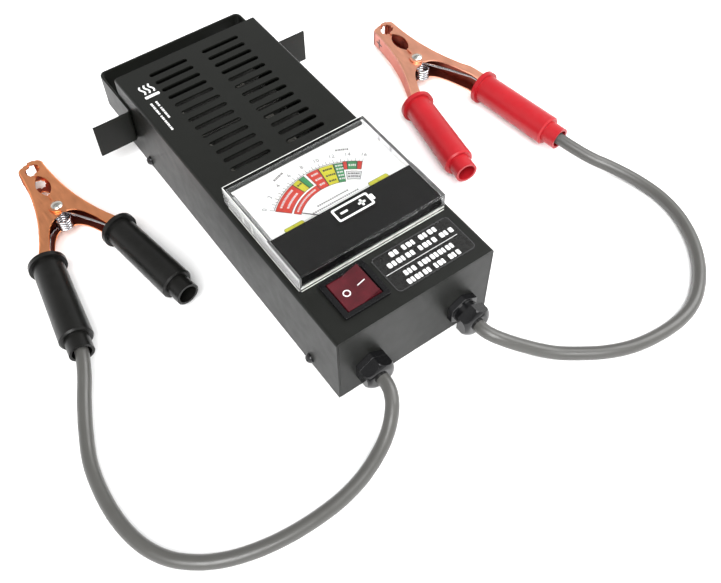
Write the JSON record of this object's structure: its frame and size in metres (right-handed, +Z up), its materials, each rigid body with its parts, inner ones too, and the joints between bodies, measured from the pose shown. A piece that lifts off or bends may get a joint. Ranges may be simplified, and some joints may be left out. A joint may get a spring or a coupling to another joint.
{
  "type": "battery tester",
  "caption": "Hand-held battery load tester: vented steel case with a panel meter, a test rocker, a rear strap and two leads that end in spring clamps.",
  "frame": {"origin": "centre of the case base, on the face it rests on", "axes": "+X to the right across the case, +Y along the case from the leads to the rear strap, +Z up"},
  "size_m": [0.4002, 0.3654, 0.0682],
  "materials": {
    "black_steel": "satin",
    "dark_screw": "satin",
    "label": "gloss",
    "white_plastic": "gloss",
    "clear_plastic": "gloss",
    "black_gloss": "gloss",
    "dial_white": "matte",
    "pointer_black": "matte",
    "copper_wire": "bare",
    "magnet_iron": "bare",
    "brass": "bare",
    "black_plastic": "satin",
    "red_translucent": "gloss",
    "nichrome": "bare",
    "ceramic": "matte",
    "steel": "bare",
    "red_wire": "satin",
    "black_nylon": "gloss",
    "grey_cable": "satin",
    "copper_plate": "plated",
    "chrome": "bright",
    "black_pvc": "satin",
    "red_pvc": "satin",
    "rubber_seal": "matte"
  },
  "bodies": {
    "case": {"chassis": "black_steel", "cover": "black_steel", "rear_strap": "black_steel", "cover_screws": "dark_screw", "load_label": "label", "meter_base": "white_plastic", "meter_window": "clear_plastic", "meter_mask": "black_gloss", "meter_dial": "dial_white", "meter_magnet": "magnet_iron", "meter_core": "magnet_iron", "meter_studs": "brass", "meter_nuts": "brass", "switch_housing": "black_plastic", "switch_terminals": "brass", "load_ribbon": "nichrome", "load_rails": "ceramic", "load_bolts": "steel", "inner_wires": "red_wire", "gland_body_black": "black_nylon", "gland_nut_black": "black_nylon", "gland_body_red": "black_nylon", "gland_nut_red": "black_nylon", "gland_seals": "rubber_seal", "gland_locknuts": "black_nylon", "tail_black": "grey_cable", "tail_red": "grey_cable", "lead_black": "grey_cable", "lead_red": "grey_cable", "black_inner_jaw": "copper_plate", "black_rivet": "steel", "black_spring": "chrome", "black_lead_grip": "black_pvc", "red_outer_jaw": "copper_plate", "red_rivet": "steel", "red_spring": "chrome", "red_lead_grip": "red_pvc"},
    "rocker": {"switch_rocker": "red_translucent"},
    "pointer": {"meter_pointer": "pointer_black", "meter_coil": "copper_wire"},
    "black_free_jaw": {"black_outer_jaw": "copper_plate", "black_free_grip": "black_pvc"},
    "red_free_jaw": {"red_inner_jaw": "copper_plate", "red_free_grip": "red_pvc"}
  },
  "joints": [
    {"name": "rocker_press", "type": "hinge", "parent": "case", "child": "rocker", "pos_m": [-0.0258, -0.1037, 0.0548], "axis": [0, 1, 0], "range_deg": [0, 22], "stiffness_Nm_per_rad": 0.05, "springref_deg": -17.19},
    {"name": "pointer_swing", "type": "hinge", "parent": "case", "child": "pointer", "pos_m": [-0.001, -0.069, 0.0642], "axis": [0, 0, -1], "range_deg": [0, 89], "stiffness_Nm_per_rad": 0.0002, "springref_deg": -11.46},
    {"name": "black_clamp_open", "type": "hinge", "parent": "case", "child": "black_free_jaw", "pos_m": [-0.1257, 0.083, 0.013], "axis": [0, 0, -1], "range_deg": [0, 24], "stiffness_Nm_per_rad": 1.5, "springref_deg": -28.65, "deforming": ["black_spring"]},
    {"name": "red_clamp_open", "type": "hinge", "parent": "case", "child": "red_free_jaw", "pos_m": [0.1455, 0.0585, 0.013], "axis": [0, 0, 1], "range_deg": [0, 24], "stiffness_Nm_per_rad": 1.5, "springref_deg": -28.65, "deforming": ["red_spring"]}
  ]
}
